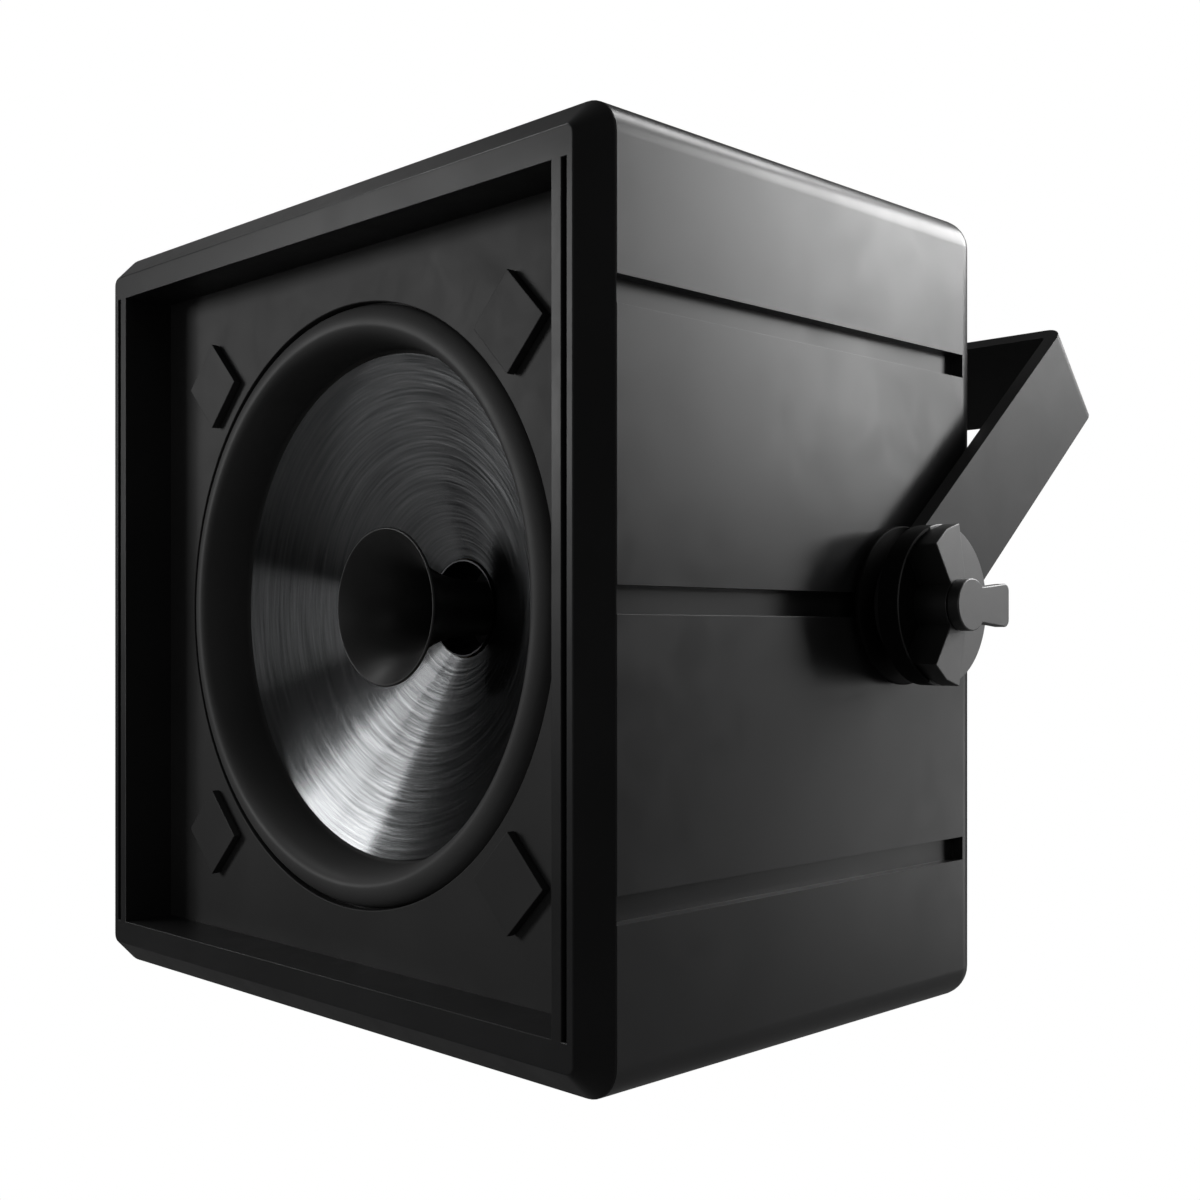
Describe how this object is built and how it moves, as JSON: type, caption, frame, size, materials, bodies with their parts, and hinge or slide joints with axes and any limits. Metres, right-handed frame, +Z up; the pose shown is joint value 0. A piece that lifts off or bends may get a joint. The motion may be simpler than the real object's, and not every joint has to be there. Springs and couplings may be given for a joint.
{
  "type": "yoke-mounted coaxial loudspeaker",
  "caption": "Square black loudspeaker cabinet with a recessed coaxial driver, a flared central horn, grooved sides and a tilting U-shaped yoke clamped by lobed hand knobs.",
  "frame": {"origin": "middle of the cabinet's underside, halfway between its front plane and its rear face", "axes": "+X to the right seen from the front, +Y to the rear, +Z up; the driver fires along -Y and the yoke turns about X"},
  "size_m": [0.4852, 0.3762, 0.4],
  "materials": {
    "shell_paint": "satin black paint on shaped plywood",
    "board_paint": "matt black paint",
    "wood": "bare pine",
    "foam": "black foam and felt",
    "surround_rubber": "soft black rubber",
    "cone_metal": "spun aluminium with fine circular marks",
    "spun_aluminium": "thin rolled foil",
    "copper": "enamelled copper wire",
    "spider_cloth": "resin-dipped cloth",
    "cast_metal": "black-coated die casting",
    "plated_steel": "zinc plated",
    "ferrite": "sintered ferrite",
    "horn_plastic": "fine matt moulding",
    "black_plastic": "moulded, lightly textured",
    "board_laminate": "glass-fibre laminate",
    "film_capacitor": "film wrap",
    "ceramic_white": "cement",
    "yoke_paint": "powder coat on bent steel bar",
    "disc_rubber": "hard black rubber",
    "knob_plastic": "satin moulded plastic"
  },
  "bodies": {
    "cabinet": {"cabinet_shell": "shell_paint", "front_bezel": "shell_paint", "baffle": "board_paint", "corner_pad_top_right": "board_paint", "corner_pad_top_left": "board_paint", "corner_pad_bottom_left": "board_paint", "corner_pad_bottom_right": "board_paint", "baffle_cleat_left": "wood", "baffle_cleat_right": "wood", "driver_gasket": "foam", "damping_pad": "foam", "surround": "surround_rubber", "crossover_inductor": "copper", "tinsel_lead_left": "copper", "tinsel_lead_right": "copper", "spider": "spider_cloth", "driver_basket": "cast_metal", "compression_driver_body": "cast_metal", "top_plate": "plated_steel", "pole_piece": "plated_steel", "driver_clamp_1": "plated_steel", "driver_clamp_2": "plated_steel", "driver_clamp_3": "plated_steel", "driver_clamp_4": "plated_steel", "clamp_screw_1": "plated_steel", "clamp_screw_2": "plated_steel", "clamp_screw_3": "plated_steel", "clamp_screw_4": "plated_steel", "plate_screw_1": "plated_steel", "plate_screw_2": "plated_steel", "plate_screw_3": "plated_steel", "plate_screw_4": "plated_steel", "threaded_insert_left": "plated_steel", "threaded_insert_right": "plated_steel", "magnet": "ferrite", "horn_bell": "horn_plastic", "compression_driver_cap": "black_plastic", "driver_terminals": "black_plastic", "connector_plate": "black_plastic", "speaker_socket_1": "black_plastic", "speaker_socket_2": "black_plastic", "board_rail_left": "black_plastic", "board_rail_right": "black_plastic", "crossover_board": "board_laminate", "crossover_capacitor": "film_capacitor", "crossover_resistor": "ceramic_white", "friction_disc_left": "disc_rubber", "friction_disc_right": "disc_rubber"},
    "yoke": {"yoke_bracket": "yoke_paint"},
    "cone_assembly": {"cone": "cone_metal", "voice_coil_former": "spun_aluminium", "voice_coil": "copper"},
    "knob_left_set": {"knob_left": "knob_plastic", "knob_cap_left": "knob_plastic", "pivot_stud_left": "plated_steel", "washer_left": "plated_steel"},
    "knob_right_set": {"knob_right": "knob_plastic", "knob_cap_right": "knob_plastic", "pivot_stud_right": "plated_steel", "washer_right": "plated_steel"}
  },
  "joints": [
    {"name": "yoke_tilt", "type": "hinge", "parent": "cabinet", "child": "yoke", "pos_m": [0, 0.064, 0.2], "axis": [1, 0, 0], "range_deg": [-95, 15]},
    {"name": "knob_left_turn", "type": "hinge", "parent": "cabinet", "child": "knob_left_set", "pos_m": [-0.2, 0.064, 0.2], "axis": [-1, 0, 0], "range_deg": [0, 270]},
    {"name": "knob_right_turn", "type": "hinge", "parent": "cabinet", "child": "knob_right_set", "pos_m": [0.2, 0.064, 0.2], "axis": [1, 0, 0], "range_deg": [0, 270]},
    {"name": "cone_travel", "type": "slide", "parent": "cabinet", "child": "cone_assembly", "axis": [0, -1, 0], "range_m": [-0.008, 0.008], "stiffness_N_per_m": 4800, "deforming": ["surround", "spider", "tinsel_lead_left", "tinsel_lead_right"]}
  ]
}
